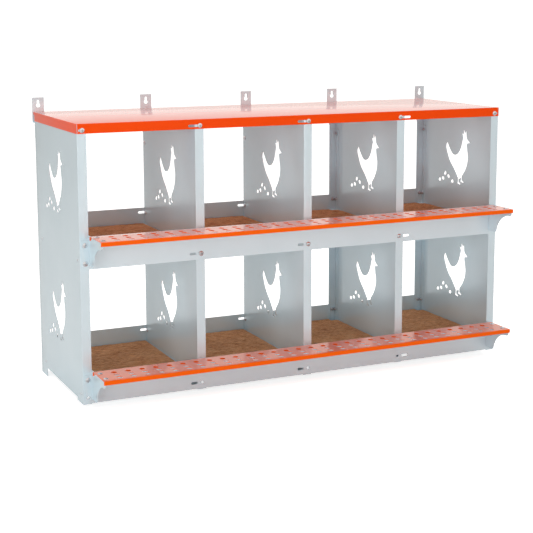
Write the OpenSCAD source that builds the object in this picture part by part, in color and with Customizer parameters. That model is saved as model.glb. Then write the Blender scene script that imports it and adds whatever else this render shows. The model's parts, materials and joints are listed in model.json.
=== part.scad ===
// Wall-hung nesting box: two tiers of nests in bolted galvanised sheet, with a coated roof,
// two perforated perches, keyhole hangers and a loose mat in every nest.
// Frame: +X across the nests to the right, +Y towards the wall, +Z up.

/* [Layout] */
// Width of one nest, panel to panel
bay_w = 300; // [280:5:340]
// Depth of the panels, front flange face to rear flange face
depth = 392; // [370:2:440]
// Height of the roof above the soles of the front feet
height = 689; // [686:1:720]
// Height of one tier above the one below it
tier_pitch = 334; // [330:1:340]
// How far the rear feet reach below the front feet
rear_foot_drop = 17; // [5:1:30]

/* [Sheet metal] */
// Thickness of the panels, trays, fascias, roof and perches
sheet = 1; // [0.8:0.1:1.2]
// Thickness of the brackets, hangers and corner angles
strap = 1.5; // [1.2:0.1:2]
// Width of the folded flanges of a panel
flange_w = 23; // [21:1:26]
// Height of the panels' lower edge between the feet
sole_gap = 7; // [4:1:12]
// Length of the front feet along the panel
front_foot_l = 50; // [40:1:60]
// Length of the rear feet along the panel
rear_foot_l = 59; // [45:1:70]

/* [Roof] */
// Height of the roof's folded edges
roof_edge_h = 24; // [20:1:26]
// How far the roof passes the panels' rear flanges
roof_back = 6; // [4:1:10]
// Height of the hem along the roof's rear edge
roof_hem_h = 6; // [4:1:10]

/* [Fascias and rails] */
// Height of the fascias and rear rails
board_h = 78; // [74:1:80]
// Height of a tier's fascia above the tier's datum
board_z = 2; // [2:1:4]
// Length of the fixing slots
slot_l = 36; // [32:1:40]
// Width of the fixing slots
slot_w = 6.4; // [6.2:0.1:6.8]

/* [Perch] */
// Height of a perch's top above its tier's datum
perch_top = 86; // [84:1:90]
// Gap between the perch and the panels' front flanges
perch_gap = 18; // [16:1:22]
// Width of the perch plate
perch_w = 92; // [88:1:96]
// Height of the perch's folded edges
perch_lip = 10; // [8:1:12]
// Distance from the outside of the end panels to the perch's ends
perch_inset = 20; // [18:1:22]
// Diameter of the drain holes
drain_d = 14; // [12:0.5:15]
// Spacing of the drain holes along the perch
drain_pitch = 35.6; // [34:0.1:36]
// Spacing of the rows of drain holes
drain_row = 23; // [21:0.5:24]

/* [Nest floor] */
// Height of the tray's top above its tier's datum
tray_top = 33; // [31:1:36]
// Depth of the tray's folded side and rear edges
tray_edge = 27; // [24:1:28]
// Depth of the tray's folded front edge
tray_lip = 9; // [6:1:9]
// Thickness of a nest mat
mat_t = 5; // [4:0.5:8]

/* [Hangers] */
// Width of a hanger above its step
hanger_w = 32; // [28:1:36]
// Width of a hanger's leg below its step
hanger_leg_w = 24; // [18:1:24]
// How far a hanger stands above the roof
hanger_rise = 38; // [34:1:45]
// Radius of a keyhole's round opening
key_r = 5.5; // [5.5:0.1:6]
// Width of a keyhole's slot
key_slot_w = 6.4; // [6:0.1:6.6]

/* [Hen cut-out] */
// Height of the cut-out's lowest point above its tier's datum
hen_z = 116; // [105:1:120]
// Distance from the front flange to the hen's feet
hen_y = 190; // [180:1:200]

/* [Hidden] */
$fn = 48;

bays = 4;
half_w = bays * bay_w / 2;
panel_top = height - sheet;
tier_z = [0, tier_pitch];

// Outermost points of the whole object, which set its middle
front_y = -(perch_gap + perch_w);
back_y = depth + roof_back + strap;
mid_y = (front_y + back_y) / 2;

// A post is a panel's place in the row, 0 to 4. The first three fold right, the last two left.
function post_x(k) = (k - bays / 2) * bay_w;
function fold(k) = k < 3 ? 1 : -1;

// Fixings
bolt_d = 6;
bolt_hole = 6.4;
head_d = 12.5;
head_h = 3.2;
nut_af = 10;
nut_t = 4;
bolt_in = 13;                 // bolt centre from the panel's outer face
function bolt_x(k) = post_x(k) + fold(k) * bolt_in;
roof_bolt_z = height - 16;
roof_end_slot_l = 14;
roof_corner_gap = 1.5;        // between the roof's front edge and its end edges
board_bolt_low = 16;          // front fascia slots above the board's lower edge
board_bolt_high = 65;         // rear rail slots above the board's lower edge
bracket_bolts = [17, 62];     // bracket bolts above the tier's datum
rivet_ys = [18, 345];
rivet_z = 24;                 // rivets above the tier's datum
rivet_d = 3.2;
rivet_hole = 3.4;

// Corner angles
angle_leg = 16;
angle_bottom = 8;
angle_top = 610;
angle_round = 5;              // round corners of the angle's top
angle_bolt_top = 595;
angle_bolt_in = 9;            // web bolts from the rear flange's inner face

// Hangers
hanger_off = 12;              // hanger centre from the panel's outer face
hanger_bottom = 622;
hanger_step = height - roof_edge_h - 3;   // top of the step that clears the roof's edge
hanger_bolts = [632, 650];
hanger_top = height + hanger_rise;
key_z = hanger_top - 21;
key_slot_top = hanger_top - 6.5;

// Perch brackets
bracket_t = strap;
bracket_web = 23;             // web's outer face from the end panel's outer face
bracket_edge = 5;             // flange's outer edge from the end panel's outer face
bracket_low = 7;
bracket_web_low = 12;
bracket_flange_top = 74;
nose_r = 9;
sweep_r = 62;
toe_r = 8;
perch_bolt_in = 31;
perch_bolt_ys = [-42, -90];
bracket_shelf_w = 20;
bracket_shelf_ys = [-104, -22];

tray_gap = 0.3;               // between a tray and the panels
mat_gap = 4;                  // between a mat and the panels
mat_front = 6;                // mat's front edge from the panels' front
corner_notch = 20;
floor_gap = 0.3;              // between a mat and its tray

steel = [0.77, 0.80, 0.83];
coat = [0.94, 0.36, 0.10];
coir = [0.50, 0.33, 0.24];
zinc = [0.88, 0.89, 0.90];

// Moves everything from the panels' own frame (front flange face, front soles) to the object's
module in_place() { translate([0, -mid_y, rear_foot_drop]) children(); }

// A box from one corner to the opposite one
module block(low, high) { translate(low) cube(high - low); }

// A cylinder that leaves its base along +Y, -Y, +X, -X or +Z
module rod_y(p, d, l) { translate(p) rotate([-90, 0, 0]) cylinder(d = d, h = l); }
module rod_x(p, d, l) { translate(p) rotate([0, 90, 0]) cylinder(d = d, h = l); }

// A slot with round ends along X, cut through a sheet that stands across Y
module slot_y(x, z, l, w, y, t) {
    hx = (l - w) / 2;
    block([x - hx, y - 1, z - w / 2], [x + hx, y + t + 1, z + w / 2]);
    for (s = [-1, 1]) rod_y([x + s * hx, y - 1, z], w, t + 2);
}

// ---- Hen cut-out: a closed curve through a few points, u forward and v up from the feet ----
hen_body = [[30, 146], [38, 141], [41, 133], [39, 120], [42, 104], [46, 86], [43, 66], [33, 46],
    [20, 31], [9, 20], [-2, 18], [-14, 31], [-28, 46], [-42, 58], [-54, 72], [-64, 90], [-70, 106],
    [-64, 119], [-53, 106], [-42, 94], [-30, 86], [-14, 87], [0, 97], [10, 113], [16, 130],
    [21, 142]];
beak = [[38, 138], [55, 127], [39, 124]];
comb = [[20, 139], [14, 152], [22, 150], [23, 165], [30, 153], [35, 162], [38, 140]];
hen_legs = [[-2, 5], [14, 12]];
leg_w = 4.4;
leg_l = 18;
eggs = [[-101, 4, 20], [-83, 9, -15], [-72, 26, 35], [-54, 18, -30], [-33, 6, 10]];  // u, v, tilt

// Point at fraction t between b and c of a smooth curve through a, b, c and d
function blend_point(a, b, c, d, t) =
    0.5 * (2 * b + (c - a) * t + (2 * a - 5 * b + 4 * c - d) * t * t
        + (3 * b - a - 3 * c + d) * t * t * t);
function smooth_loop(p, steps) = let (n = len(p)) [for (i = [0 : n - 1], s = [0 : steps - 1])
    blend_point(p[(i + n - 1) % n], p[i], p[(i + 1) % n], p[(i + 2) % n], s / steps)];

module egg(u, v, tilt) {
    translate([u, v]) rotate(tilt)
        polygon([for (a = [0 : 15 : 345]) [(5.4 - 0.8 * cos(a)) * cos(a) * 1.25, 5 * sin(a)]]);
}

module hen_shape() {
    polygon(smooth_loop(hen_body, 4));
    polygon(beak);
    polygon(comb);
    for (l = hen_legs) {
        translate([l[0] - leg_w / 2, l[1]]) square([leg_w, leg_l]);
        translate([l[0], l[1]]) rotate(-12) polygon([[-4, -3], [11, -3], [12, 1], [-3, 3]]);
    }
    for (e = eggs) egg(e[0], e[1], e[2]);
}

// The hen looks to the front, so its u runs along -Y
module hen_cut(x) {
    for (z = tier_z) translate([x, hen_y, z + hen_z]) multmatrix([[0, 0, 1, 0],
        [-1, 0, 0, 0], [0, 1, 0, 0], [0, 0, 0, 1]]) translate([0, 0, -5])
        linear_extrude(height = 10) hen_shape();
}

// ---- Panels ----
// A web with a flange folded towards the inside along its front and rear edges
module panel(k) {
    f = fold(k);
    x = post_x(k);
    color(steel) in_place() difference() {
        union() {
            span_x(x, f, 0, sheet, [0, sole_gap], [depth, panel_top]);
            span_x(x, f, 0, sheet, [0, 0], [front_foot_l, sole_gap]);
            span_x(x, f, 0, sheet, [depth - rear_foot_l, -rear_foot_drop], [depth, sole_gap]);
            span_x(x, f, sheet, flange_w, [0, 0], [sheet, panel_top]);
            span_x(x, f, sheet, flange_w, [depth - sheet, sole_gap], [depth, panel_top]);
        }
        hen_cut(x);
        for (z = concat([roof_bolt_z], front_bolt_zs(k)))
            rod_y([bolt_x(k), -1, z], bolt_hole, sheet + 2);
        for (z = concat([for (t = tier_z) t + board_z + board_bolt_high], hanger_bolts))
            rod_y([bolt_x(k), depth - sheet - 1, z], bolt_hole, sheet + 2);
        if (k > 0) for (z = web_bolt_zs())
            rod_x([x - 3, depth - sheet - angle_bolt_in, z], bolt_hole, 6);
        for (t = tier_z, y = rivet_ys) rod_x([x - 3, y, t + rivet_z], rivet_hole, 6);
    }
}

// A box that starts a given distance from a post's outer face, on the side the post folds to
module span_x(x, f, from, to, low, high) {
    a = x + f * from;
    b = x + f * to;
    block([min(a, b), low[0], low[1]], [max(a, b), high[0], high[1]]);
}

function front_bolt_zs(k) = (k == 0 || k == bays)
    ? [for (t = tier_z, b = bracket_bolts) t + b]
    : [for (t = tier_z) t + board_z + board_bolt_low];
function web_bolt_zs() = concat([for (t = tier_z) t + board_z + board_bolt_high], [angle_bolt_top]);

// ---- Rear corner angles: an angle section in each panel's rear fold ----
module corner_angle(k) {
    f = fold(k);
    x = post_x(k);
    inner_y = depth - sheet;
    r = angle_round;
    color(steel) in_place() difference() {
        union() {
            span_x(x, f, sheet, sheet + angle_leg,
                [inner_y - strap, angle_bottom], [inner_y, angle_top - r]);
            span_x(x, f, sheet, sheet + angle_leg - r,
                [inner_y - strap, angle_top - r], [inner_y, angle_top]);
            translate([x + f * (sheet + angle_leg - r), inner_y - strap, angle_top - r])
                rotate([-90, 0, 0]) cylinder(r = r, h = strap);
            span_x(x, f, sheet, sheet + strap,
                [inner_y - angle_leg, angle_bottom], [inner_y - strap, angle_top - r]);
            span_x(x, f, sheet, sheet + strap,
                [inner_y - angle_leg + r, angle_top - r], [inner_y - strap, angle_top]);
            translate([x + f * sheet + (f > 0 ? 0 : -strap), inner_y - angle_leg + r, angle_top - r])
                rotate([0, 90, 0]) cylinder(r = r, h = strap);
        }
        for (t = tier_z)
            rod_y([bolt_x(k), inner_y - 3, t + board_z + board_bolt_high], bolt_hole, 4);
        if (k > 0) for (z = web_bolt_zs())
            rod_x([x - 5, inner_y - angle_bolt_in, z], bolt_hole, 10);
    }
}

// ---- Hangers: a strap with a keyhole, stepped back round the roof's rear edge ----
module hanger(k) {
    x = post_x(k) + fold(k) * hanger_off;
    hw = hanger_w / 2;
    leg = hanger_leg_w / 2;
    step_y = depth + roof_back;
    color(steel) in_place() difference() {
        union() {
            block([x - leg, depth, hanger_bottom], [x + leg, depth + strap, hanger_step]);
            block([x - leg, depth, hanger_step - strap], [x + leg, step_y + strap, hanger_step]);
            block([x - hw, step_y, hanger_step - strap], [x + hw, step_y + strap, hanger_top]);
        }
        rod_y([x, step_y - 1, key_z], key_r * 2, strap + 2);
        block([x - key_slot_w / 2, step_y - 1, key_z],
            [x + key_slot_w / 2, step_y + strap + 1, key_slot_top - key_slot_w / 2]);
        rod_y([x, step_y - 1, key_slot_top - key_slot_w / 2], key_slot_w, strap + 2);
        for (z = hanger_bolts)
            rod_y([bolt_x(k), depth - 1, z], bolt_hole, strap + 2);
    }
}

// ---- Roof: a sheet folded down along its front and ends, hemmed at the rear ----
module roof() {
    low = height - roof_edge_h;
    end_y = depth - 1;
    color(coat) in_place() difference() {
        union() {
            block([-half_w - sheet, -sheet, panel_top], [half_w + sheet, depth + roof_back, height]);
            block([-half_w + roof_corner_gap, -sheet, low], [half_w - roof_corner_gap, 0, panel_top]);
            for (s = [-1, 1])
                block([s * (half_w + sheet / 2) - sheet / 2, -sheet, low],
                    [s * (half_w + sheet / 2) + sheet / 2, end_y, panel_top]);
            block([-half_w - sheet, depth + roof_back - sheet, panel_top - roof_hem_h],
                [half_w + sheet, depth + roof_back, panel_top]);
        }
        for (k = [1 : bays - 1])
            slot_y(post_x(k), roof_bolt_z, slot_l, slot_w, -sheet, sheet);
        for (k = [0, bays])
            slot_y(bolt_x(k) - fold(k) * 2.5, roof_bolt_z, roof_end_slot_l, slot_w, -sheet, sheet);
    }
}

// ---- Fascias and rear rails: flat boards with a slot at each inner panel ----
module board(tier, y, slot_z) {
    z = tier_z[tier] + board_z;
    inset = 3;
    difference() {
        block([-half_w + inset, y, z], [half_w - inset, y + sheet, z + board_h]);
        for (k = [1 : bays - 1]) slot_y(post_x(k), z + slot_z, slot_l, slot_w, y, sheet);
        children();
    }
}

module fascia(tier) {
    color(steel) in_place() board(tier, -sheet, board_bolt_low)
        for (k = [0, bays], b = bracket_bolts)
            rod_y([bolt_x(k), -sheet - 1, tier_z[tier] + b], bolt_hole, sheet + 2);
}

module rear_rail(tier) {
    color(steel) in_place() board(tier, depth, board_bolt_high)
        for (k = [0, bays])
            rod_y([bolt_x(k), depth - 1, tier_z[tier] + board_z + board_bolt_high],
                bolt_hole, sheet + 2);
}

// ---- Perches: a perforated channel, folded down front and rear ----
module perch(tier) {
    top = tier_z[tier] + perch_top;
    end_x = half_w - perch_inset;
    mid_row = -(perch_gap + perch_w / 2) - 2;
    holes = floor((end_x - 40) / drain_pitch);
    color(coat) in_place() difference() {
        union() {
            block([-end_x, front_y, top - sheet], [end_x, -perch_gap, top]);
            block([-end_x, front_y, top - perch_lip], [end_x, front_y + sheet, top - sheet]);
            block([-end_x, -perch_gap - sheet, top - perch_lip], [end_x, -perch_gap, top - sheet]);
        }
        for (i = [-holes : holes], r = [-1 : 1])
            translate([i * drain_pitch, mid_row + r * drain_row, top - 2]) cylinder(d = drain_d, h = 3);
        for (s = [-1, 1], y = perch_bolt_ys)
            translate([s * (half_w - perch_bolt_in), y, top - 2]) cylinder(d = bolt_hole, h = 3);
    }
}

// ---- Perch brackets: a flange on the panel, an ogee web and a shelf under the perch ----
// Points of an arc about (cx, cy), both ends included
function arc(cx, cy, r, from, to, steps) = [for (i = [0 : steps])
    let (a = from + (to - from) * i / steps) [cx + r * cos(a), cy + r * sin(a)]];

// The web's side view: how far it stands out from the fascia, and the height above the tier's
// datum. A round toe, a hollow sweep and a round nose, then a notch for the perch's rear edge.
module bracket_side() {
    top = perch_top - sheet;
    reach = perch_w + perch_gap - 2 * sheet - 0.5;
    nose_x = reach - nose_r;
    nose_z = top - perch_lip;
    sweep_z = nose_z - nose_r - sweep_r;
    start = asin((bracket_web_low + toe_r - sweep_z) / sweep_r);
    toe_x = nose_x - sweep_r * cos(start) - toe_r;
    difference() {
        polygon(concat([[0, bracket_web_low]],
            arc(toe_x, bracket_web_low + toe_r, toe_r, -90, 0, 6),
            arc(nose_x, sweep_z, sweep_r, 179 - start, 90, 14),
            arc(nose_x, nose_z, nose_r, -80, 0, 8),
            [[reach, top], [0, top]]));
        translate([perch_gap - sheet - 0.5, nose_z - 0.5]) square([2 * sheet, perch_lip + 1]);
    }
}

module bracket(tier, side) {
    k = side < 0 ? 0 : bays;
    x = post_x(k);
    f = fold(k);
    z = tier_z[tier];
    top = z + perch_top - sheet;
    web_x = x + f * (bracket_web + bracket_t / 2);
    color(steel) in_place() difference() {
        union() {
            span_x(x, f, bracket_edge, bracket_web,
                [-sheet - bracket_t, z + bracket_low], [-sheet, z + bracket_flange_top]);
            translate([web_x - bracket_t / 2, -sheet, z]) multmatrix([[0, 0, 1, 0],
                [-1, 0, 0, 0], [0, 1, 0, 0], [0, 0, 0, 1]])
                linear_extrude(height = bracket_t) bracket_side();
            span_x(x, f, bracket_web + bracket_t, bracket_web + bracket_shelf_w,
                [bracket_shelf_ys[0], top - bracket_t], [bracket_shelf_ys[1], top]);
        }
        for (b = bracket_bolts)
            rod_y([bolt_x(k), -5, z + b], bolt_hole, 6);
        for (y = perch_bolt_ys)
            translate([x + f * perch_bolt_in, y, top - 3]) cylinder(d = bolt_hole, h = 6);
    }
}

// ---- Nest floors: trays folded down on four sides, notched round the corner angles ----
function bay_low(b) = post_x(b - 1) + (fold(b - 1) > 0 ? sheet : 0);
function bay_high(b) = post_x(b) - (fold(b) > 0 ? 0 : sheet);
function angle_left(b) = fold(b - 1) > 0;
function angle_right(b) = fold(b) < 0;

module tray(tier, b) {
    gap = tray_gap;
    x0 = bay_low(b) + gap;
    x1 = bay_high(b) - gap;
    y0 = sheet;
    y1 = depth - sheet - gap;
    top = tier_z[tier] + tray_top;
    low = top - tray_edge;
    notch = angle_leg + 4;
    color(steel) in_place() difference() {
        union() {
            block([x0, y0, top - sheet], [x1, y1, top]);
            block([x0, y0, top - tray_lip], [x1, y0 + sheet, top - sheet]);
            block([x0 + notch, y1 - sheet, low], [x1 - notch, y1, top - sheet]);
            block([x0, y0 + sheet, low], [x0 + sheet, y1 - notch, top - sheet]);
            block([x1 - sheet, y0 + sheet, low], [x1, y1 - notch, top - sheet]);
        }
        for (x = [x0 - 1, x1 - notch])
            block([x, y1 - notch, low - 1], [x + notch + 1, y1 + 1, top + 1]);
        for (y = rivet_ys, x = [x0, x1 - sheet])
            rod_x([x - 1, y, tier_z[tier] + rivet_z], rivet_hole, sheet + 2);
    }
}

// ---- Nest mats: loose pads that lift out, notched where a corner angle stands ----
module mat(tier, b) {
    x0 = bay_low(b) + mat_gap;
    x1 = bay_high(b) - mat_gap;
    y0 = mat_front;
    y1 = depth - sheet - mat_gap;
    z = tier_z[tier] + tray_top + floor_gap;
    color(coir) in_place() difference() {
        block([x0, y0, z], [x1, y1, z + mat_t]);
        if (angle_left(b)) block([x0 - 1, y1 - corner_notch, z - 1],
            [x0 + corner_notch, y1 + 1, z + mat_t + 1]);
        if (angle_right(b)) block([x1 - corner_notch, y1 - corner_notch, z - 1],
            [x1 + 1, y1 + 1, z + mat_t + 1]);
    }
}

// ---- Fasteners ----
// A pan-head screw at the origin: its head's seat is at z = 0, its shank runs down
module screw(l) {
    rotate_extrude() intersection() {
        translate([0, head_h - 9]) circle(r = 9, $fn = 96);
        square([head_d / 2, head_h]);
    }
    translate([0, 0, -l]) cylinder(d = bolt_d, h = l);
}

module nut() {
    difference() {
        cylinder(d = nut_af / cos(30), h = nut_t, $fn = 6);
        translate([0, 0, -1]) cylinder(d = bolt_d + 0.2, h = nut_t + 2);
    }
}

// Turns +Z to the named direction
module face_front() { rotate([90, 0, 0]) children(); }
module face_back() { rotate([-90, 0, 0]) children(); }
module face_left() { rotate([0, -90, 0]) children(); }
module face_right() { rotate([0, 90, 0]) children(); }

module roof_screws() {
    color(zinc) in_place() for (k = [0 : bays])
        translate([bolt_x(k), -sheet, roof_bolt_z]) face_front() screw(9);
}

module roof_nuts() {
    color(zinc) in_place() for (k = [0 : bays])
        translate([bolt_x(k), sheet, roof_bolt_z]) face_back() nut();
}

module hanger_screws() {
    color(zinc) in_place() for (k = [0 : bays], z = hanger_bolts)
        translate([bolt_x(k), depth + strap, z]) face_back() screw(9);
}

module hanger_nuts() {
    color(zinc) in_place() for (k = [0 : bays], z = hanger_bolts)
        translate([bolt_x(k), depth - sheet, z]) face_front() nut();
}

// The upper fascia alone is bolted through its slots
module fascia_screws() {
    color(zinc) in_place() for (k = [1 : bays - 1])
        translate([bolt_x(k), -sheet, tier_z[1] + board_z + board_bolt_low]) face_front() screw(9);
}

module fascia_nuts() {
    color(zinc) in_place() for (k = [1 : bays - 1])
        translate([bolt_x(k), sheet, tier_z[1] + board_z + board_bolt_low]) face_back() nut();
}

// Both bolts hold each upper bracket and only the higher one each lower bracket
bracket_fixings = [[0, bracket_bolts[1]], [1, bracket_bolts[0]], [1, bracket_bolts[1]]];

module bracket_screws() {
    color(zinc) in_place() for (k = [0, bays], p = bracket_fixings)
        translate([bolt_x(k), -sheet - bracket_t, tier_z[p[0]] + p[1]]) face_front() screw(10);
}

module bracket_nuts() {
    color(zinc) in_place() for (k = [0, bays], p = bracket_fixings)
        translate([bolt_x(k), sheet, tier_z[p[0]] + p[1]]) face_back() nut();
}

module perch_screws() {
    color(zinc) in_place() for (s = [-1, 1], y = perch_bolt_ys, z = tier_z)
        translate([s * (half_w - perch_bolt_in), y, z + perch_top]) screw(9);
}

module perch_nuts() {
    color(zinc) in_place() for (s = [-1, 1], y = perch_bolt_ys, z = tier_z)
        translate([s * (half_w - perch_bolt_in), y, z + perch_top - sheet - bracket_t - nut_t]) nut();
}

module rail_screws() {
    color(zinc) in_place() for (k = [0 : bays], t = tier_z)
        translate([bolt_x(k), depth + sheet, t + board_z + board_bolt_high]) face_back() screw(9);
}

module rail_nuts() {
    color(zinc) in_place() for (k = [0 : bays], t = tier_z)
        translate([bolt_x(k), depth - sheet - strap, t + board_z + board_bolt_high])
            face_front() nut();
}

// Corner bolts start on the panel's plain side
module corner_screws() {
    y = depth - sheet - angle_bolt_in;
    color(zinc) in_place() for (k = [1 : bays], z = web_bolt_zs())
        translate([post_x(k), y, z])
            if (fold(k) > 0) face_left() screw(9); else face_right() screw(9);
}

module corner_nuts() {
    y = depth - sheet - angle_bolt_in;
    color(zinc) in_place() for (k = [1 : bays], z = web_bolt_zs())
        translate([post_x(k) + fold(k) * (sheet + strap), y, z])
            if (fold(k) > 0) face_right() nut(); else face_left() nut();
}

// A rivet along +X through everything between its two heads
module rivet(x, y, z, from, to) {
    rod_x([x + from - 1, y, z], rivet_d * 2, 1);
    rod_x([x + from, y, z], rivet_d, to - from);
    rod_x([x + to, y, z], rivet_d * 1.8, 1);
}

module tray_rivets() {
    grip = tray_gap + sheet;
    color(zinc) in_place() for (k = [0 : bays], t = tier_z, y = rivet_ys) {
        low = (fold(k) > 0 ? 0 : -sheet) - (k == 0 ? 0 : grip);
        high = (fold(k) > 0 ? sheet : 0) + (k == bays ? 0 : grip);
        rivet(post_x(k), y, t + rivet_z, low, high);
    }
}

roof();
panel(0);  // end_panel_left
panel(1);  // partition_1
panel(2);  // partition_2
panel(3);  // partition_3
panel(4);  // end_panel_right
corner_angle(0);  // corner_angle_1
corner_angle(1);  // corner_angle_2
corner_angle(2);  // corner_angle_3
corner_angle(3);  // corner_angle_4
corner_angle(4);  // corner_angle_5
hanger(0);  // hanger_1
hanger(1);  // hanger_2
hanger(2);  // hanger_3
hanger(3);  // hanger_4
hanger(4);  // hanger_5
fascia(0);  // fascia_lower
fascia(1);  // fascia_upper
rear_rail(0);  // rear_rail_lower
rear_rail(1);  // rear_rail_upper
perch(0);  // perch_lower
perch(1);  // perch_upper
bracket(0, -1);  // perch_bracket_lower_left
bracket(0, 1);  // perch_bracket_lower_right
bracket(1, -1);  // perch_bracket_upper_left
bracket(1, 1);  // perch_bracket_upper_right
tray(0, 1);  // floor_tray_lower_1
tray(0, 2);  // floor_tray_lower_2
tray(0, 3);  // floor_tray_lower_3
tray(0, 4);  // floor_tray_lower_4
tray(1, 1);  // floor_tray_upper_1
tray(1, 2);  // floor_tray_upper_2
tray(1, 3);  // floor_tray_upper_3
tray(1, 4);  // floor_tray_upper_4
mat(0, 1);  // nest_mat_lower_1
mat(0, 2);  // nest_mat_lower_2
mat(0, 3);  // nest_mat_lower_3
mat(0, 4);  // nest_mat_lower_4
mat(1, 1);  // nest_mat_upper_1
mat(1, 2);  // nest_mat_upper_2
mat(1, 3);  // nest_mat_upper_3
mat(1, 4);  // nest_mat_upper_4
roof_screws();
roof_nuts();
hanger_screws();
hanger_nuts();
fascia_screws();
fascia_nuts();
bracket_screws();
bracket_nuts();
perch_screws();
perch_nuts();
rail_screws();
rail_nuts();
corner_screws();
corner_nuts();
tray_rivets();
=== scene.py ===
"""Nesting box: two tiers of four nests in bolted galvanised sheet, with an orange coated roof and
perches, keyhole hangers and a loose coir mat in every nest. All pieces are in metres, in the
frame's own axes: +X along the row, +Y towards the wall, +Z up."""
import json
import math

import bmesh
import bpy
import numpy as np
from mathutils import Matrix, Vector


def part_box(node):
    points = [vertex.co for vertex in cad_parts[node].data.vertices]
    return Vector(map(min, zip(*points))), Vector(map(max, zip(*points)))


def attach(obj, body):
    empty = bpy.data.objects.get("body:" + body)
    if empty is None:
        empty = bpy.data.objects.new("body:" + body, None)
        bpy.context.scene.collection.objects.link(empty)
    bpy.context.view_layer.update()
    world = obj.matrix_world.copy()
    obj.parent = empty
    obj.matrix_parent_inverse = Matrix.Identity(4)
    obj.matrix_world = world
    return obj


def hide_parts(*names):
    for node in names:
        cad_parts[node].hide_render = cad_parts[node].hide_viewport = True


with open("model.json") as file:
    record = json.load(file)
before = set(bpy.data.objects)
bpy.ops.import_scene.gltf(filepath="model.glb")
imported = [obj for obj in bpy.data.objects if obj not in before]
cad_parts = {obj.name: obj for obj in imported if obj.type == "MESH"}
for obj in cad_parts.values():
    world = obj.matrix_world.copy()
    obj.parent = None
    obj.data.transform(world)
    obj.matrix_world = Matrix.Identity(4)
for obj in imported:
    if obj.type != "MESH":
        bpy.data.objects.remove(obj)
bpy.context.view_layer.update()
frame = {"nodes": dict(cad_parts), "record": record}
NODES = frame["nodes"]

# ---- Camera, floor and light ----
CAMERA_AT = (-1.4387, -3.0578, 0.9728)
CAMERA_PITCH = 0.1509
CAMERA_YAW = -0.446
CAMERA_LENS = 85.6
CAMERA_SHIFT = (-0.04, -0.12)
SENSOR_WIDTH = 36.0
FLOOR_RADIUS = 30.0
FLOOR_SIDES = 96
FLOOR_ALBEDO = 0.93
SKY_SEEN = 1.05
SKY_LIGHT = 0.46
SKY_MIRRORED = 1.0
SKY_COLOUR = (1.04, 1.0, 0.96)
FLOOR_GLOW = 0.75
BOX_COLOUR = (1.0, 0.95, 0.92)
BOX_AIM = (0.0, 0.0, 0.3)
SOFT_BOXES = (  # name, place, size, power
    ("front_box", (0.6, -5.6, 0.6), 3.6, 74.0),
    ("left_box", (-4.0, -3.6, 1.0), 2.6, 104.0),
    ("top_box", (-0.6, 0.6, 4.2), 3.5, 50.0),
)
FILL_POWER = 0.09
FILL_SIZE = 0.07
FILL_COLOUR = (0.9, 0.97, 1.0)
FILL_IN = 0.05        # behind the mat's front edge
FILL_UP = 0.2         # above the mat
FILL_AIM_UP = 0.03    # the aim above the mat's rear edge


def linear(red, green, blue):
    """A colour given as a display shows it, 0 to 255, as the linear values that shaders use."""
    return tuple((c / 255.0) ** 2.2 for c in (red, green, blue))


def place_camera():
    """Stands the camera at the left front corner of the row, a little above the roof."""
    lens = bpy.data.cameras.new("camera")
    lens.lens = CAMERA_LENS
    lens.sensor_width = SENSOR_WIDTH
    lens.shift_x, lens.shift_y = CAMERA_SHIFT
    lens.clip_end = 200.0
    camera = bpy.data.objects.new("camera", lens)
    camera.location = CAMERA_AT
    camera.rotation_euler = (math.pi / 2 - CAMERA_PITCH, 0.0, CAMERA_YAW)
    bpy.context.scene.collection.objects.link(camera)
    bpy.context.scene.camera = camera


def area_light(name, at, aim, size, power, colour):
    """A square soft box at a point, turned to face another point. No surface mirrors it."""
    light = bpy.data.lights.new(name, "AREA")
    light.shape = "SQUARE"
    light.size = size
    light.energy = power
    light.color = colour
    lamp = bpy.data.objects.new(name, light)
    lamp.location = at
    lamp.rotation_euler = (Vector(aim) - Vector(at)).to_track_quat("-Z", "Y").to_euler()
    lamp.visible_camera = False
    lamp.visible_glossy = False
    bpy.context.scene.collection.objects.link(lamp)


def set_studio():
    """A white room: a sky with one strength where it is seen, one where a glossy surface mirrors it
    and one as a light, large soft boxes on stands, and a small weak fill under each ceiling."""
    world = bpy.data.worlds.new("white_room")
    world.use_nodes = True
    tree = world.node_tree
    rays = tree.nodes.new("ShaderNodeLightPath").outputs
    strength = SKY_LIGHT
    for ray, value in (("Is Glossy Ray", SKY_MIRRORED), ("Is Camera Ray", SKY_SEEN)):
        step = tree.nodes.new("ShaderNodeMix")
        tree.links.new(rays[ray], step.inputs[0])
        if isinstance(strength, float):
            step.inputs[2].default_value = strength
        else:
            tree.links.new(strength, step.inputs[2])
        step.inputs[3].default_value = value
        strength = step.outputs[0]
    tree.nodes["Background"].inputs["Color"].default_value = (*SKY_COLOUR, 1.0)
    tree.links.new(strength, tree.nodes["Background"].inputs["Strength"])
    bpy.context.scene.world = world
    bpy.context.scene.view_settings.view_transform = "Standard"
    for name, at, size, power in SOFT_BOXES:
        area_light(name, at, BOX_AIM, size, power, BOX_COLOUR)
    for node in NODES:
        if node.startswith("nest_mat"):
            low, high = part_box(node)
            middle = (low[0] + high[0]) / 2.0
            area_light("fill_" + node, (middle, low[1] + FILL_IN, high[2] + FILL_UP),
                       (middle, high[1], high[2] + FILL_AIM_UP), FILL_SIZE, FILL_POWER,
                       FILL_COLOUR)


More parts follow.
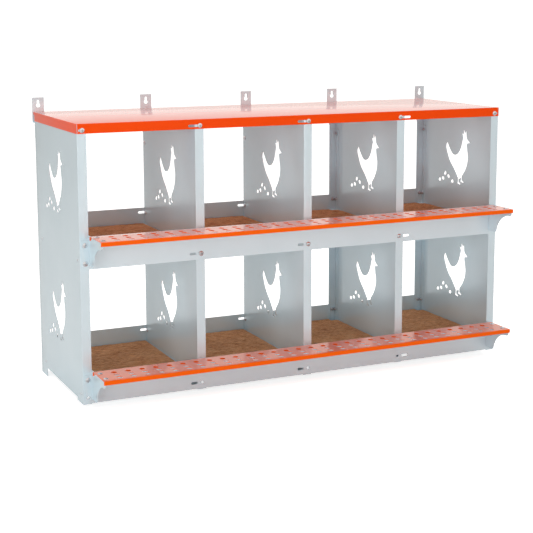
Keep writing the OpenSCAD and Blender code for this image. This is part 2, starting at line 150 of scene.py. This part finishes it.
def lay_floor():
    """A pale round floor at the height of the lowest feet. It glows a little where it is seen, so
    that it meets the white room without a line."""
    mesh = bpy.data.meshes.new("floor")
    turns = np.linspace(0.0, 2.0 * math.pi, FLOOR_SIDES, endpoint=False)
    rim = np.stack([np.cos(turns), np.sin(turns), np.zeros_like(turns)], axis=1) * FLOOR_RADIUS
    mesh.from_pydata(rim.tolist(), [], [list(range(len(rim)))])
    floor = bpy.data.objects.new("floor", mesh)
    bpy.context.scene.collection.objects.link(floor)
    paint = bpy.data.materials.new("pale_floor")
    paint.use_nodes = True
    shader = paint.node_tree.nodes["Principled BSDF"]
    shader.inputs["Base Color"].default_value = (FLOOR_ALBEDO, FLOOR_ALBEDO, FLOOR_ALBEDO, 1.0)
    shader.inputs["Roughness"].default_value = 0.9
    shader.inputs["Specular IOR Level"].default_value = 0.1
    shader.inputs["Emission Color"].default_value = (1.0, 1.0, 1.0, 1.0)
    glow = paint.node_tree.nodes.new("ShaderNodeMath")
    glow.operation = "MULTIPLY"
    glow.inputs[1].default_value = FLOOR_GLOW
    rays = paint.node_tree.nodes.new("ShaderNodeLightPath")
    paint.node_tree.links.new(rays.outputs["Is Camera Ray"], glow.inputs[0])
    paint.node_tree.links.new(glow.outputs[0], shader.inputs["Emission Strength"])
    mesh.materials.append(paint)


# ---- Shader building ----
class Shader:
    """A node tree under construction, with short calls to add nodes and join them."""

    def __init__(self, tree):
        self.tree = tree

    def add(self, kind, settings=(), **sockets):
        """Adds a node, sets its properties and its named sockets: a value, or a socket to link."""
        node = self.tree.nodes.new(kind)
        for name, value in dict(settings).items():
            setattr(node, name, value)
        for name, value in sockets.items():
            self.feed(node.inputs[name.replace("_", " ")], value)
        return node

    def feed(self, socket, value):
        """Links an output socket to an input, or sets the input to a plain value."""
        if isinstance(value, bpy.types.NodeSocket):
            self.tree.links.new(value, socket)
        else:
            socket.default_value = value

    def math(self, operation, first, second=0.0, clamp=False):
        """One arithmetic step."""
        node = self.tree.nodes.new("ShaderNodeMath")
        node.operation = operation
        node.use_clamp = clamp
        self.feed(node.inputs[0], first)
        self.feed(node.inputs[1], second)
        return node.outputs[0]

    def mix(self, share, first, second, mode="MIX"):
        """Mixes two colours."""
        node = self.tree.nodes.new("ShaderNodeMix")
        node.data_type = "RGBA"
        node.blend_type = mode
        self.feed(node.inputs[0], share)
        self.feed(node.inputs[6], first)
        self.feed(node.inputs[7], second)
        return node.outputs[2]

    def ramp(self, value, low, high, to_low=0.0, to_high=1.0):
        """Maps low..high to to_low..to_high and clamps."""
        node = self.add("ShaderNodeMapRange")
        self.feed(node.inputs["Value"], value)
        for name, number in (("From Min", low), ("From Max", high),
                             ("To Min", to_low), ("To Max", to_high)):
            self.feed(node.inputs[name], number)
        return node.outputs["Result"]

    def noise(self, where, scale, detail=2.0, roughness=0.5):
        """Smooth noise about 0.5 at the given points."""
        node = self.add("ShaderNodeTexNoise")
        self.feed(node.inputs["Vector"], where)
        self.feed(node.inputs["Scale"], scale)
        self.feed(node.inputs["Detail"], detail)
        self.feed(node.inputs["Roughness"], roughness)
        return node.outputs[0]

    def stretched(self, where, scale):
        """The points with each axis scaled by its own amount."""
        node = self.add("ShaderNodeVectorMath", {"operation": "MULTIPLY"})
        self.feed(node.inputs[0], where)
        self.feed(node.inputs[1], scale)
        return node.outputs[0]


def new_group(name, inputs, outputs):
    """An empty shader group with named sockets. Each is (name, kind) or (name, kind, value)."""
    tree = bpy.data.node_groups.new(name, "ShaderNodeTree")
    for given, side in ((inputs, "INPUT"), (outputs, "OUTPUT")):
        for entry in given:
            socket = tree.interface.new_socket(
                entry[0], in_out=side, socket_type="NodeSocket" + entry[1])
            if len(entry) > 2:
                socket.default_value = entry[2]
    start = tree.nodes.new("NodeGroupInput")
    end = tree.nodes.new("NodeGroupOutput")
    return tree, Shader(tree), start.outputs, end.inputs


def haze_group():
    """Handling haze: broad cloudy patches with fine streaks along one axis, from 0 to 1. Cloud has
    the patches alone."""
    tree, make, given, result = new_group(
        "handling_haze",
        [("Vector", "Vector"), ("Streak", "Vector", (6.0, 6.0, 90.0))],
        [("Haze", "Float"), ("Cloud", "Float")])
    cloud = make.noise(given["Vector"], 9.0, 3.0)
    streak = make.noise(make.stretched(given["Vector"], given["Streak"]), 4.0, 3.0, 0.6)
    both = make.math("ADD", make.math("MULTIPLY", cloud, 0.6), make.math("MULTIPLY", streak, 0.4))
    make.feed(result["Haze"], make.ramp(both, 0.32, 0.68))
    make.feed(result["Cloud"], make.ramp(cloud, 0.3, 0.7))
    return tree


def peel_group():
    """Powder coat texture: a fine orange peel over slower waves."""
    tree, make, given, result = new_group(
        "coat_peel",
        [("Vector", "Vector"), ("Grain", "Float", 900.0)],
        [("Height", "Float"), ("Fleck", "Float")])
    fine = make.noise(given["Vector"], given["Grain"], 1.0)
    slow = make.noise(given["Vector"], 12.0, 2.0)
    make.feed(result["Height"], make.math("ADD", make.math("MULTIPLY", fine, 0.03),
                                          make.math("MULTIPLY", slow, 0.5)))
    make.feed(result["Fleck"], make.noise(given["Vector"], 2400.0, 1.0))
    return tree


ZINC_METAL_SHARE = 0.4
GROUPS = {"haze": haze_group(), "peel": peel_group()}


def new_material(name):
    """A material with a Principled shader, and the object coordinates its patterns read."""
    paint = bpy.data.materials.new(name)
    paint.use_nodes = True
    make = Shader(paint.node_tree)
    shader = paint.node_tree.nodes["Principled BSDF"]
    where = make.add("ShaderNodeTexCoord").outputs["Object"]
    return paint, make, shader, where


def use_group(make, name, **sockets):
    """Places one of the shared groups in a material."""
    node = make.tree.nodes.new("ShaderNodeGroup")
    node.node_tree = GROUPS[name]
    for socket, value in sockets.items():
        make.feed(node.inputs[socket], value)
    return node.outputs


def bumped(make, height, strength, distance):
    """A bump normal from a height."""
    node = make.add("ShaderNodeBump", Height=height)
    node.inputs["Strength"].default_value = strength
    node.inputs["Distance"].default_value = distance
    return node.outputs["Normal"]


def galvanised(name, bright, dull, gloss):
    """Smooth galvanised sheet: soft clouds of tone and gloss. Zinc that has dulled in air is part
    mirror and part matt, so the metal share stays well under one."""
    paint, make, shader, where = new_material(name)
    cloud = use_group(make, "haze", Vector=where)["Cloud"]
    make.feed(shader.inputs["Base Color"], make.mix(cloud, (*dull, 1.0), (*bright, 1.0)))
    make.feed(shader.inputs["Roughness"], make.ramp(cloud, 0.0, 1.0, gloss + 0.03, gloss - 0.03))
    shader.inputs["Metallic"].default_value = ZINC_METAL_SHARE
    return paint


def orange_coat(name, deep, light):
    """Glossy orange powder coat on steel: it mirrors little from the front and much when seen
    along its surface."""
    paint, make, shader, where = new_material(name)
    peel = use_group(make, "peel", Vector=where)
    haze = use_group(make, "haze", Vector=where)["Haze"]
    tone = make.math("ADD", make.math("MULTIPLY", peel["Fleck"], 0.5),
                     make.math("MULTIPLY", haze, 0.5))
    make.feed(shader.inputs["Base Color"], make.mix(tone, (*deep, 1.0), (*light, 1.0)))
    make.feed(shader.inputs["Roughness"], make.ramp(haze, 0.0, 1.0, 0.3, 0.36))
    make.feed(shader.inputs["Normal"], bumped(make, peel["Height"], 0.2, 0.0005))
    shader.inputs["IOR"].default_value = 1.2
    slant = make.add("ShaderNodeLayerWeight").outputs["Facing"]
    make.feed(shader.inputs["Coat Weight"], make.ramp(slant, 0.25, 0.85))
    shader.inputs["Coat Roughness"].default_value = 0.1
    shader.inputs["Coat IOR"].default_value = 1.7
    return paint


def zinc_plate():
    """Bright zinc plating on screws, nuts and rivets."""
    paint, make, shader, where = new_material("zinc_fasteners")
    haze = use_group(make, "haze", Vector=where)["Haze"]
    make.feed(shader.inputs["Base Color"],
              make.mix(haze, (*linear(200, 200, 204), 1.0), (*linear(226, 228, 232), 1.0)))
    make.feed(shader.inputs["Roughness"], make.ramp(haze, 0.0, 1.0, 0.30, 0.18))
    shader.inputs["Metallic"].default_value = 1.0
    return paint


def coir_fibre():
    """Brown coir: a fibrous ground whose tone also follows each fibre's own tone."""
    paint, make, shader, where = new_material("coir_mat")
    along = make.noise(make.stretched(where, (40.0, 260.0, 260.0)), 2.0, 3.0, 0.6)
    cloud = make.noise(where, 14.0, 3.0)
    strand = make.add("ShaderNodeAttribute", {"attribute_name": "strand"}).outputs["Fac"]
    tone = make.math("ADD", make.math("MULTIPLY", along, 0.65), make.math("MULTIPLY", cloud, 0.15))
    tone = make.math("ADD", tone, make.math("MULTIPLY", strand, 0.25))
    make.feed(shader.inputs["Base Color"],
              make.mix(make.ramp(tone, 0.38, 0.66), (*linear(172, 114, 78), 1.0),
                       (*linear(244, 184, 136), 1.0)))
    make.feed(shader.inputs["Normal"], bumped(make, along, 0.5, 0.0012))
    shader.inputs["Roughness"].default_value = 0.85
    shader.inputs["Specular IOR Level"].default_value = 0.25
    return paint


SHEET_BRIGHT = linear(220, 238, 247)
SHEET_DULL = linear(214, 232, 241)
MATERIALS = {
    "galvanised_sheet": galvanised("galvanised_sheet", SHEET_BRIGHT, SHEET_DULL, 0.24),
    "galvanised_strap": galvanised("galvanised_strap", SHEET_BRIGHT, SHEET_DULL, 0.15),
    "orange_coat": orange_coat("orange_coat", linear(240, 70, 4), linear(246, 80, 8)),
    # The perches wear the same orange paint as the roof; their copy is painted lighter and
    # yellower, as painted light for the brighter light on the perches.
    "perch_coat": orange_coat("perch_coat", linear(246, 92, 4), linear(250, 102, 8)),
    "zinc_fasteners": zinc_plate(),
    "coir_mat": coir_fibre(),
}
SLOTS = {part["node"]: part["material_slot"] for part in frame["record"]["subparts"]}


# ---- Mesh helpers ----
def new_piece(name, points, faces, body, finish, replaces=()):
    """Makes a smooth-shaded mesh object from whole arrays, gives it its finish and body, and says
    which CAD nodes it stands for. faces is a list of arrays, each with one face a row."""
    mesh = bpy.data.meshes.new(name)
    loops = np.concatenate([f.ravel() for f in faces])
    counts = np.concatenate([np.full(len(f), f.shape[1]) for f in faces])
    mesh.vertices.add(len(points))
    mesh.vertices.foreach_set("co", np.asarray(points, np.float32).ravel())
    mesh.loops.add(len(loops))
    mesh.loops.foreach_set("vertex_index", loops.astype(np.int32))
    mesh.polygons.add(len(counts))
    starts = np.concatenate([[0], np.cumsum(counts)[:-1]])
    mesh.polygons.foreach_set("loop_start", starts.astype(np.int32))
    mesh.update(calc_edges=True)
    mesh.validate()
    return finished(name, mesh, body, finish, replaces)


def finished(name, mesh, body, finish, replaces=()):
    """Puts a mesh in the scene as a piece of the object."""
    mesh.materials.clear()
    mesh.materials.append(MATERIALS[finish])
    piece = bpy.data.objects.new(name, mesh)
    bpy.context.scene.collection.objects.link(piece)
    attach(piece, body)
    if replaces:
        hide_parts(*replaces)
    return piece


def crisp(mesh, degrees=32.0):
    """Smooth shading that breaks at edges sharper than the given angle."""
    mesh.shade_smooth()
    mesh.set_sharp_from_angle(angle=math.radians(degrees))


def solids(node):
    """The corners of each separate solid in a CAD node. Corners at one place count as one, and the
    lowest label spreads along the edges until all joined corners hold it."""
    mesh = NODES[node].data
    points = np.zeros(len(mesh.vertices) * 3)
    mesh.vertices.foreach_get("co", points)
    points = points.reshape(-1, 3)
    _, first, same = np.unique(np.round(points, 5), axis=0, return_index=True, return_inverse=True)
    edges = np.zeros(len(mesh.edges) * 2, np.int64)
    mesh.edges.foreach_get("vertices", edges)
    edges = same.ravel()[edges.reshape(-1, 2)]
    label = np.arange(len(first))
    while True:
        low = label.copy()
        np.minimum.at(low, edges[:, 0], label[edges[:, 1]])
        np.minimum.at(low, edges[:, 1], label[edges[:, 0]])
        if (low == label).all():
            return [points[first[label == k]] for k in np.unique(label)]
        label = low


def ring_faces(rings, sides, close_first=False, close_last=False):
    """Quads between consecutive rings of a closed tube, with a fan of its last corner at an end
    that closes. Corners are counted ring by ring."""
    at = np.arange(rings * sides).reshape(rings, sides)
    nxt = np.roll(at, -1, axis=1)
    faces = [np.stack([at[:-1], nxt[:-1], nxt[1:], at[1:]], axis=-1).reshape(-1, 4)]
    if close_first:
        faces.append(at[0][::-1][None, :])
    if close_last:
        faces.append(at[-1][None, :])
    return faces


# ---- Fasteners ----
HEAD_R = 0.00625
HEAD_H = 0.0032
DOME_R = 0.009
THREAD_R = 0.003
THREAD_PITCH = 0.001
SIDES = 48
RECESS_DEPTH = 0.0016
RECESS_REACH = 0.0045      # rings beyond this radius stay whole
SHANK_SIDES = 20
RINGS_PER_PITCH = 5
THREAD_DEPTH = 0.0005
POINT_DEPTH = 0.0006
POINT_LENGTH = 0.8         # in pitches
NUT_BORE_R = 0.0031
NUT_FACE_R = 0.475         # the face's circle, as a share of the width across flats
NUT_CONE = math.tan(math.radians(60.0))
RIVET_R = 0.0016
RIVET_SIDES = 24
RIVET_RISE = 0.0009
RIVET_HEAD_H = 0.001
TAIL_SHARE = 0.45          # the tail's radius, as a share of the head's width


def turned(points, axis, sign):
    """Points about +Z turned so that +Z becomes the given axis, with the given sign."""
    x, y, z = points.T
    if axis == 2:
        return np.stack([x, sign * y, sign * z], axis=1)
    if axis == 1:
        return np.stack([sign * x, sign * z, -y], axis=1)
    return np.stack([sign * z, sign * x, y], axis=1)


def cross_recess(x, y):
    """How deep a cross recess is at a point of a head, from 0 to 1: two crossed bars that narrow
    towards their ends, with sloping walls."""
    arm, width, slope = 0.0031, 0.00065, 0.00035
    along, across = np.maximum(abs(x), abs(y)), np.minimum(abs(x), abs(y))
    inside = np.minimum((arm - along) / (2.0 * slope), (width - across) / slope)
    return np.clip(inside, 0.0, 1.0)


def screw_head():
    """A pan head seated at z = 0: rings run from the middle of a dome out to its rim, round the
    rim's edge and back under. The dome is an arc of DOME_R, sunk by the cross recess."""
    turns = np.linspace(0.0, 2.0 * math.pi, SIDES, endpoint=False)
    radii = np.concatenate([[1e-5], np.linspace(0.0003, 0.0036, 12), [0.0042, 0.005, 0.0057]])
    dome = HEAD_H - DOME_R + np.sqrt(DOME_R ** 2 - radii ** 2)
    rim = np.array([[0.00605, 0.00086], [0.00622, 0.0006], [HEAD_R, 0.0003], [0.0061, 0.0],
                    [THREAD_R, 0.0]])
    r = np.concatenate([radii, rim[:, 0]])
    z = np.concatenate([dome, rim[:, 1]])
    x = r[:, None] * np.cos(turns)
    y = r[:, None] * np.sin(turns)
    sunk = z[:, None] - RECESS_DEPTH * cross_recess(x, y) * (r[:, None] < RECESS_REACH)
    points = np.stack([x, y, sunk], axis=-1)
    faces = ring_faces(len(r), SIDES, close_first=True, close_last=True)
    return points.reshape(-1, 3), [f[:, ::-1] for f in faces]


def shank(length):
    """A threaded shank below z = 0: its radius rises and falls once in a pitch, and the thread
    turns with the angle. The last turn narrows to a point's chamfer."""
    turns = np.linspace(0.0, 2.0 * math.pi, SHANK_SIDES, endpoint=False)
    z = -np.linspace(0.0, length, int(length / THREAD_PITCH * RINGS_PER_PITCH) + 1)
    phase = z[:, None] / THREAD_PITCH + turns / (2.0 * math.pi)
    tooth = 2.0 * abs(phase - np.floor(phase) - 0.5)
    taper = np.clip((length + z[:, None]) / (POINT_LENGTH * THREAD_PITCH), 0.0, 1.0)
    r = THREAD_R - THREAD_DEPTH * tooth - POINT_DEPTH * (1.0 - taper)
    grid = np.broadcast_arrays(r * np.cos(turns), r * np.sin(turns), z[:, None] + 0.0 * r)
    points = np.stack(grid, axis=-1).reshape(-1, 3)
    faces = ring_faces(len(z), SHANK_SIDES, close_first=True, close_last=True)
    return points, [f[:, ::-1] for f in faces]


def hex_nut(across, height):
    """A nut from z = 0 up, with a bore: its radius is a hexagon's, cut by a cone at both faces."""
    turns = np.linspace(0.0, 2.0 * math.pi, SIDES, endpoint=False)
    sixth = np.mod(turns + math.pi / 6.0, math.pi / 3.0) - math.pi / 6.0
    flat = across / 2.0 / np.cos(sixth)
    near = np.array([0.0, 0.0, 0.0002, 0.00045, 0.0008])
    z = np.concatenate([near, [0.5 * height], height - near[::-1]])
    face = np.minimum(z, height - z)
    cone = across * NUT_FACE_R + face * NUT_CONE
    outer = np.minimum(flat, cone[:, None])
    bore = np.full(SIDES, NUT_BORE_R)
    r = np.vstack([bore, outer[1:-1], bore])
    x = r * np.cos(turns)
    y = r * np.sin(turns)
    points = np.stack([x, y, np.broadcast_to(z[:, None], x.shape)], axis=-1)
    at = np.arange(len(z) * SIDES).reshape(len(z), SIDES)
    loop = np.concatenate([at, at[:1]])
    nxt = np.roll(loop, -1, axis=1)
    faces = np.stack([loop[:-1], nxt[:-1], nxt[1:], loop[1:]], axis=-1).reshape(-1, 4)
    return points.reshape(-1, 3), [faces]


def rivet(length, head_r, tail_r):
    """A blind rivet along +Z from z = 0: a low dome with the pulled pin's dimple at each end, and
    a narrow shank between the two."""
    turns = np.linspace(0.0, 2.0 * math.pi, RIVET_SIDES, endpoint=False)
    steps = np.linspace(0.0, 1.0, 5) * math.pi / 2.0
    share = np.concatenate([[0.02, 0.25, 0.32], 0.4 + 0.6 * np.sin(steps)])
    near = np.concatenate([[0.0004, 0.0004, 0.00012], RIVET_RISE * (1.0 - np.cos(steps))])
    r = np.concatenate([head_r * share, [head_r, RIVET_R, RIVET_R, tail_r],
                        tail_r * share[::-1]])
    z = np.concatenate([near, [RIVET_HEAD_H, RIVET_HEAD_H],
                        [length - RIVET_HEAD_H, length - RIVET_HEAD_H], length - near[::-1]])
    grid = np.broadcast_arrays(r[:, None] * np.cos(turns), r[:, None] * np.sin(turns), z[:, None])
    points = np.stack(grid, axis=-1).reshape(-1, 3)
    faces = ring_faces(len(r), RIVET_SIDES, close_first=True, close_last=True)
    return points, faces


def all_placed(node, shape, slot="zinc_fasteners"):
    """One piece that stands for a CAD node's fasteners, with the given shape at each solid.
    shape(corners) gives that solid's points and faces in place."""
    all_points, all_faces, count = [], {}, 0
    for corners in solids(node):
        points, faces = shape(corners)
        for face in faces:
            all_faces.setdefault(face.shape[1], []).append(face + count)
        all_points.append(points)
        count += len(points)
    piece = new_piece(node.rstrip("s") + "_set", np.concatenate(all_points),
                      [np.concatenate(group) for group in all_faces.values()],
                      "nest_box", slot, [node])
    crisp(piece.data)
    return piece


def joined(*parts):
    """Several (points, faces) as one."""
    points, faces, count = [], [], 0
    for own_points, own_faces in parts:
        points.append(own_points)
        faces += [face + count for face in own_faces]
        count += len(own_points)
    return np.concatenate(points), faces


def place_screw(corners):
    """The head's many corners pull a screw's mean corner towards its head, which tells the way it
    faces; its length is what the head leaves of the solid's box."""
    low, high = corners.min(0), corners.max(0)
    middle = (low + high) / 2.0
    pull = corners.mean(0) - middle
    axis = int(np.argmax(abs(pull)))
    sign = 1.0 if pull[axis] > 0 else -1.0
    length = high[axis] - low[axis] - HEAD_H
    seat = middle.copy()
    seat[axis] = (high if sign > 0 else low)[axis] - sign * HEAD_H
    points, faces = joined(screw_head(), shank(length))
    return turned(points, axis, sign) + seat, faces


def place_nut(corners):
    """A nut's axis is the shortest side of its box."""
    low, high = corners.min(0), corners.max(0)
    axis = int(np.argmin(high - low))
    base = (low + high) / 2.0
    base[axis] = low[axis]
    across = np.sort(high - low)[1]
    points, faces = hex_nut(across, (high - low)[axis])
    return turned(points, axis, 1.0) + base, faces


def place_rivet(corners):
    """A rivet lies along X, its wider head first."""
    low, high = corners.min(0), corners.max(0)
    base = (low + high) / 2.0
    base[0] = low[0]
    points, faces = rivet(high[0] - low[0], (high - low)[1] / 2.0, (high - low)[1] * TAIL_SHARE)
    return turned(points, 0, 1.0) + base, faces


# ---- Folded sheet metal ----
FOLD_R = 0.0009
RIM_BREAK = 0.00015
MERGE = 1e-6
FLAT_ANGLE = math.radians(0.6)
BROAD_WIDTH = 0.001        # least area over perimeter of a broad face
FOLD_LENGTH = 0.02
FOLD_ANGLE = 1.0
BREAK_ANGLE = math.radians(50.0)


def eased(node, body="nest_box", finish=None):
    """A sheet metal node with bent outer folds and softly broken cut edges. Its triangles are
    merged into flat faces. A face is a cut edge's when its area is small for its outline; an
    outward edge between two broad faces is a fold and takes the bend radius."""
    mesh = NODES[node].data.copy()
    mesh.name = node + "_sheet"
    shape = bmesh.new()
    shape.from_mesh(mesh)
    bmesh.ops.remove_doubles(shape, verts=shape.verts, dist=MERGE)
    bmesh.ops.dissolve_limit(shape, angle_limit=FLAT_ANGLE, verts=shape.verts,
                             edges=shape.edges)
    broad = {f.index: f.calc_area() > BROAD_WIDTH * f.calc_perimeter() for f in shape.faces}
    folds = [e for e in shape.edges if len(e.link_faces) == 2
             and e.calc_length() > FOLD_LENGTH and e.calc_face_angle_signed(0.0) > FOLD_ANGLE
             and all(broad[f.index] for f in e.link_faces)]
    if folds:
        bmesh.ops.bevel(shape, geom=folds, offset=FOLD_R, offset_type="OFFSET", segments=4,
                        profile=0.5, affect="EDGES", clamp_overlap=True)
    shape.to_mesh(mesh)
    shape.free()
    piece = finished(node + "_sheet", mesh, body, finish or SLOTS[node], [node])
    ease = piece.modifiers.new("edge_break", "BEVEL")
    ease.width = RIM_BREAK
    ease.segments = 1
    ease.limit_method = "ANGLE"
    ease.angle_limit = BREAK_ANGLE
    crisp(mesh)
    return piece


# ---- Coir mats ----
MAT_STEP = 0.0032
MAT_EDGE = (0.0, 0.0004, 0.001, 0.0018, 0.0028)
MAT_ROUND = 0.0022
MAT_WAVES = 14
RUFFLE = 0.00008
PAD_DROP = 0.0011          # the pad's mean top below the CAD top
PAD_TONE = 0.35
FIBRES = 2600
FIBRE_MARGIN = 0.0012
FIBRE_SINK = 0.0002
FIBRE_SIDES = 3
FIBRE_RINGS = 5


def lines(marks):
    """Grid lines over a mat: close together by each mark, evenly spaced between them."""
    out = []
    for low, high in zip(marks[:-1], marks[1:]):
        near = low + np.array(MAT_EDGE)
        far = high - np.array(MAT_EDGE)
        count = max(2, int((far[-1] - near[-1]) / MAT_STEP))
        out += [near, np.linspace(near[-1], far[-1], count + 1)[1:-1], far[::-1][:-1]]
    return np.concatenate(out + [[marks[-1]]])


class MatShape:
    """The outline and surface of one mat. The outline is the CAD mat's box, less a square at each
    rear corner where a corner angle stands."""

    def __init__(self, node, seed):
        points = np.concatenate(solids(node))
        self.low, self.high = points.min(0), points.max(0)
        inner = points[(points[:, 0] > self.low[0] + 1e-4) & (points[:, 0] < self.high[0] - 1e-4)]
        self.notch_x = sorted(set(np.round(inner[:, 0], 5)))
        self.notch_y = inner[inner[:, 1] < self.high[1] - 1e-4][:, 1].min()
        self.rng = np.random.default_rng(seed)
        reach = np.linspace(20.0, 420.0, MAT_WAVES)[:, None]
        self.waves = self.rng.normal(0.0, 1.0, (MAT_WAVES, 2)) * reach
        self.phases = self.rng.uniform(0.0, 2.0 * math.pi, MAT_WAVES)

    def notched(self, x, y, spare=0.0):
        """Whether a point is in a rear corner that is cut away."""
        middle = (self.low[0] + self.high[0]) / 2.0
        cut = np.zeros(np.broadcast(x, y).shape, bool)
        for edge in self.notch_x:
            outside = (x < edge + spare) if edge < middle else (x > edge - spare)
            cut |= outside & (y > self.notch_y - spare)
        return cut

    def edge_distance(self, x, y):
        """The distance to the nearest side of the outline."""
        away = np.minimum(np.minimum(x - self.low[0], self.high[0] - x),
                          np.minimum(y - self.low[1], self.high[1] - y))
        middle = (self.low[0] + self.high[0]) / 2.0
        for edge in self.notch_x:
            side = (x - edge) if edge < middle else (edge - x)
            away = np.minimum(away, np.hypot(np.maximum(side, 0.0),
                                             np.maximum(self.notch_y - y, 0.0)))
        return np.maximum(away, 0.0)

    def top(self, x, y):
        """The top surface: a sum of waves from broad to fine under the CAD top, falling away along
        a quarter circle at the outline."""
        ruffle = np.zeros(np.broadcast(x, y).shape)
        for (a, b), phase in zip(self.waves, self.phases):
            ruffle = ruffle + np.sin(a * x + b * y + phase)
        left = np.clip(1.0 - self.edge_distance(x, y) / MAT_ROUND, 0.0, 1.0)
        fall = MAT_ROUND * (1.0 - np.sqrt(1.0 - left ** 2))
        return self.high[2] - PAD_DROP + RUFFLE * ruffle - fall


def mat_pad(node, shape, body):
    """A mat's pad: a grid of top points and one of bottom points, with walls where a kept cell
    meets a dropped one."""
    xs = lines([shape.low[0], *shape.notch_x, shape.high[0]])
    ys = lines([shape.low[1], shape.notch_y, shape.high[1]])
    x, y = np.meshgrid(xs, ys, indexing="ij")
    upper = np.stack([x, y, shape.top(x, y)], axis=-1).reshape(-1, 3)
    lower = np.stack([x, y, np.full_like(x, shape.low[2])], axis=-1).reshape(-1, 3)
    centre_x, centre_y = np.meshgrid((xs[1:] + xs[:-1]) / 2, (ys[1:] + ys[:-1]) / 2, indexing="ij")
    kept = np.pad(~shape.notched(centre_x, centre_y), 1)
    at = np.arange(x.size).reshape(x.shape)
    cell = kept[1:-1, 1:-1]
    quads = np.stack([at[:-1, :-1], at[1:, :-1], at[1:, 1:], at[:-1, 1:]], axis=-1)[cell]
    walls = []
    for shift, first, second in (((0, 1), (0, 0), (0, 1)), ((2, 1), (1, 1), (1, 0)),
                                 ((1, 0), (1, 0), (0, 0)), ((1, 2), (0, 1), (1, 1))):
        beside = kept[shift[0]:shift[0] + cell.shape[0], shift[1]:shift[1] + cell.shape[1]]
        open_side = cell & ~beside
        i, j = np.nonzero(open_side)
        a, b = at[i + first[0], j + first[1]], at[i + second[0], j + second[1]]
        walls.append(np.stack([a, b, b + x.size, a + x.size], axis=-1))
    faces = np.concatenate([quads, quads[:, ::-1] + x.size, *walls])
    used, packed = np.unique(faces, return_inverse=True)
    points = np.concatenate([upper, lower])[used]
    piece = new_piece(node + "_pad", points, [packed.reshape(faces.shape)], body,
                      "coir_mat", [node])
    crisp(piece.data, 60.0)
    tone = piece.data.attributes.new("strand", "FLOAT", "POINT")
    tone.data.foreach_set("value", np.full(len(points), PAD_TONE, np.float32))
    return piece


def mat_fibres(node, shape, body):
    """Loose coir on a mat: thin three-sided tubes that set out mostly across the nest, bend as a
    half wave sideways and arch as a half wave over the pad, with both ends sunk in it."""
    rng = shape.rng
    margin = FIBRE_MARGIN
    start = np.stack([rng.uniform(shape.low[0] - margin, shape.high[0], FIBRES),
                      rng.uniform(shape.low[1] - margin, shape.high[1], FIBRES)], axis=1)
    heading = rng.normal(0.0, 0.55, FIBRES)
    length = rng.uniform(0.008, 0.030, FIBRES)
    bow = rng.normal(0.0, 0.0022, FIBRES)
    lift = rng.uniform(0.0002, 0.0011, FIBRES)
    thick = rng.uniform(0.00013, 0.00028, FIBRES)
    share = np.linspace(0.0, 1.0, FIBRE_RINGS)
    half = np.sin(math.pi * share)
    ahead = np.stack([np.cos(heading), np.sin(heading)], axis=1)
    aside = np.stack([-ahead[:, 1], ahead[:, 0]], axis=1)
    flat = (start[:, None] + ahead[:, None] * (length[:, None] * share)[..., None]
            + aside[:, None] * (bow[:, None] * half)[..., None])
    x, y = flat[..., 0], flat[..., 1]
    ok = ((x > shape.low[0] - margin) & (x < shape.high[0] + margin)
          & (y > shape.low[1] - margin) & (y < shape.high[1] + margin)
          & ~shape.notched(x, y, margin)).all(1)
    x, y, lift, thick = x[ok], y[ok], lift[ok], thick[ok]
    z = shape.top(np.clip(x, shape.low[0] + 0.001, shape.high[0] - 0.001),
                  np.clip(y, shape.low[1] + 0.001, shape.high[1] - 0.001))
    z = z + lift[:, None] * half - FIBRE_SINK * (1.0 - half)
    r = thick[:, None] * (0.35 + 0.65 * half)
    turns = np.arange(FIBRE_SIDES) * 2.0 * math.pi / FIBRE_SIDES
    side = aside[ok][:, None, None, :]
    ring = np.empty((len(x), FIBRE_RINGS, FIBRE_SIDES, 3))
    ring[..., :2] = (np.stack([x, y], axis=-1)[:, :, None]
                     + side * (r[..., None] * np.cos(turns))[..., None])
    ring[..., 2] = z[..., None] + r[..., None] * np.sin(turns)
    at = np.arange(ring.shape[0] * FIBRE_RINGS * FIBRE_SIDES)
    at = at.reshape(-1, FIBRE_RINGS, FIBRE_SIDES)
    nxt = np.roll(at, -1, axis=2)
    tube = np.stack([at[:, :-1], nxt[:, :-1], nxt[:, 1:], at[:, 1:]], axis=-1).reshape(-1, 4)
    ends = np.concatenate([at[:, 0, ::-1], at[:, -1]])
    piece = new_piece(node + "_fibres", ring.reshape(-1, 3), [tube, ends], body,
                      "coir_mat")
    tone = piece.data.attributes.new("strand", "FLOAT", "POINT")
    each = np.repeat(rng.uniform(0.0, 1.0, len(x)), FIBRE_RINGS * FIBRE_SIDES)
    tone.data.foreach_set("value", each.astype(np.float32))
    piece.data.shade_smooth()
    return piece


# ---- Assembly ----
place_camera()
set_studio()
lay_floor()
SHAPES = {"screws": place_screw, "nuts": place_nut, "rivets": place_rivet}
for seed, (node, finish) in enumerate(sorted(SLOTS.items())):
    kind = node.split("_")[-1]
    if kind in SHAPES:
        all_placed(node, SHAPES[kind])
    elif node.startswith("nest_mat"):
        body = node.replace("nest_", "")
        outline = MatShape(node, seed)
        mat_pad(node, outline, body)
        mat_fibres(node, outline, body)
    else:
        # The perches take the copy of the orange coat that is painted lighter, as painted light.
        eased(node, finish="perch_coat" if node in ("perch_lower", "perch_upper") else None)
